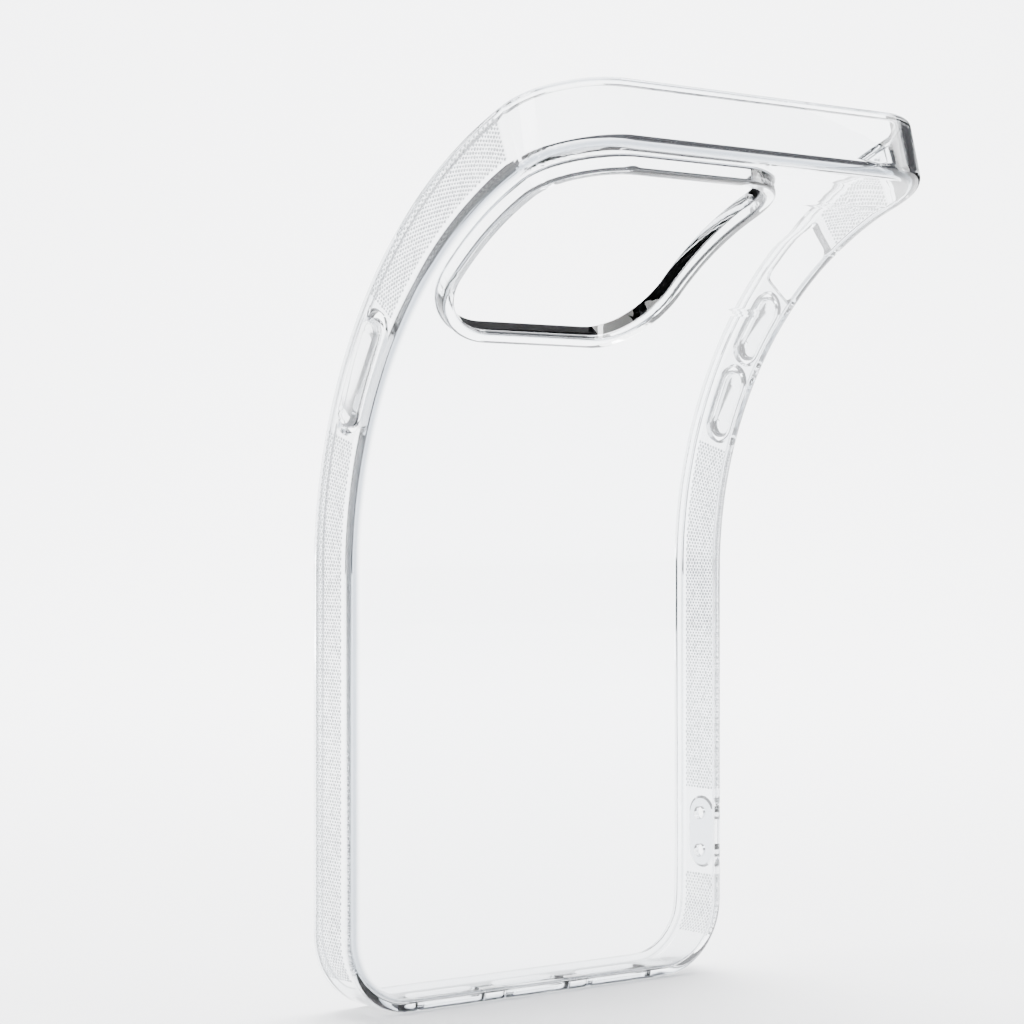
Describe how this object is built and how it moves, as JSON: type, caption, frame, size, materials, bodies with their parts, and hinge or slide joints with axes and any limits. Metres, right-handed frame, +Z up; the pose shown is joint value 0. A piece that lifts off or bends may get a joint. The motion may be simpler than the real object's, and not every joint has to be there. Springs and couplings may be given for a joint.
{
  "type": "phone case",
  "caption": "Clear flexible phone case with its upper half peeled back, a raised camera guard, pressable button covers, bottom openings and a lanyard anchor.",
  "frame": {"origin": "where the case's long centre line meets the outer face of its bottom wall, in the middle of its depth", "axes": "+X to the right seen from behind, +Y out of the screen side, +Z up along the phone"},
  "size_m": [0.0762, 0.0606, 0.1344],
  "materials": {
    "clear_shell": "clear flexible moulded plastic, polished",
    "clear_frame": "clear flexible moulded plastic, polished, with a fine grip texture along the sides",
    "clear_cover": "clear flexible moulded plastic, polished"
  },
  "bodies": {
    "lower_shell": {"back_panel_lower": "clear_shell", "left_rail_lower": "clear_frame", "right_rail_lower": "clear_frame", "bottom_wall": "clear_frame", "corner_lower_left": "clear_frame", "corner_lower_right": "clear_frame", "lanyard_anchor": "clear_frame"},
    "flex_1": {"flex_1_back": "clear_shell", "flex_1_left_rail": "clear_frame", "flex_1_right_rail": "clear_frame"},
    "flex_2": {"flex_2_back": "clear_shell", "flex_2_left_rail": "clear_frame", "flex_2_right_rail": "clear_frame"},
    "flex_3": {"flex_3_back": "clear_shell", "flex_3_left_rail": "clear_frame", "flex_3_right_rail": "clear_frame", "camera_guard_lower": "clear_frame"},
    "flex_4": {"flex_4_back": "clear_shell", "flex_4_left_rail": "clear_frame", "flex_4_right_rail": "clear_frame", "camera_guard_middle": "clear_frame"},
    "flex_5": {"flex_5_back": "clear_shell", "flex_5_left_rail": "clear_frame", "flex_5_right_rail": "clear_frame", "camera_guard_upper": "clear_frame"},
    "top_shell": {"back_panel_top": "clear_shell", "top_wall": "clear_frame", "corner_upper_left": "clear_frame", "corner_upper_right": "clear_frame", "camera_guard_top": "clear_frame"},
    "power_button": {"power_cover": "clear_cover"},
    "volume_up_button": {"volume_up_cover": "clear_cover"},
    "volume_down_button": {"volume_down_cover": "clear_cover"}
  },
  "joints": [
    {"name": "peel", "type": "hinge", "parent": "lower_shell", "child": "flex_1", "pos_m": [0, -0.00507, 0.0725], "axis": [1, 0, 0], "range_deg": [-12.6, 0]},
    {"name": "peel_2", "type": "hinge", "parent": "flex_1", "child": "flex_2", "pos_m": [0, -0.00791, 0.08519], "axis": [1, 0, 0], "range_deg": [-12.6, 0]},
    {"name": "peel_3", "type": "hinge", "parent": "flex_2", "child": "flex_3", "pos_m": [0, -0.01345, 0.09695], "axis": [1, 0, 0], "range_deg": [-12.6, 0]},
    {"name": "peel_4", "type": "hinge", "parent": "flex_3", "child": "flex_4", "pos_m": [0, -0.02141, 0.10722], "axis": [1, 0, 0], "range_deg": [-12.6, 0]},
    {"name": "peel_5", "type": "hinge", "parent": "flex_4", "child": "flex_5", "pos_m": [0, -0.03143, 0.11551], "axis": [1, 0, 0], "range_deg": [-12.6, 0]},
    {"name": "peel_6", "type": "hinge", "parent": "flex_5", "child": "top_shell", "pos_m": [0, -0.04301, 0.12141], "axis": [1, 0, 0], "range_deg": [-12.6, 0]},
    {"name": "power_press", "type": "slide", "parent": "flex_2", "child": "power_button", "axis": [1, 0, 0], "range_m": [0, 0.0004], "stiffness_N_per_m": 2000},
    {"name": "volume_up_press", "type": "slide", "parent": "flex_3", "child": "volume_up_button", "axis": [-1, 0, 0], "range_m": [0, 0.0004], "stiffness_N_per_m": 2000},
    {"name": "volume_down_press", "type": "slide", "parent": "flex_2", "child": "volume_down_button", "axis": [-1, 0, 0], "range_m": [0, 0.0004], "stiffness_N_per_m": 2000}
  ],
  "couplings": [
    {"joint": "peel_2", "follows": "peel", "ratio": 1},
    {"joint": "peel_3", "follows": "peel", "ratio": 1},
    {"joint": "peel_4", "follows": "peel", "ratio": 1},
    {"joint": "peel_5", "follows": "peel", "ratio": 1},
    {"joint": "peel_6", "follows": "peel", "ratio": 1}
  ]
}
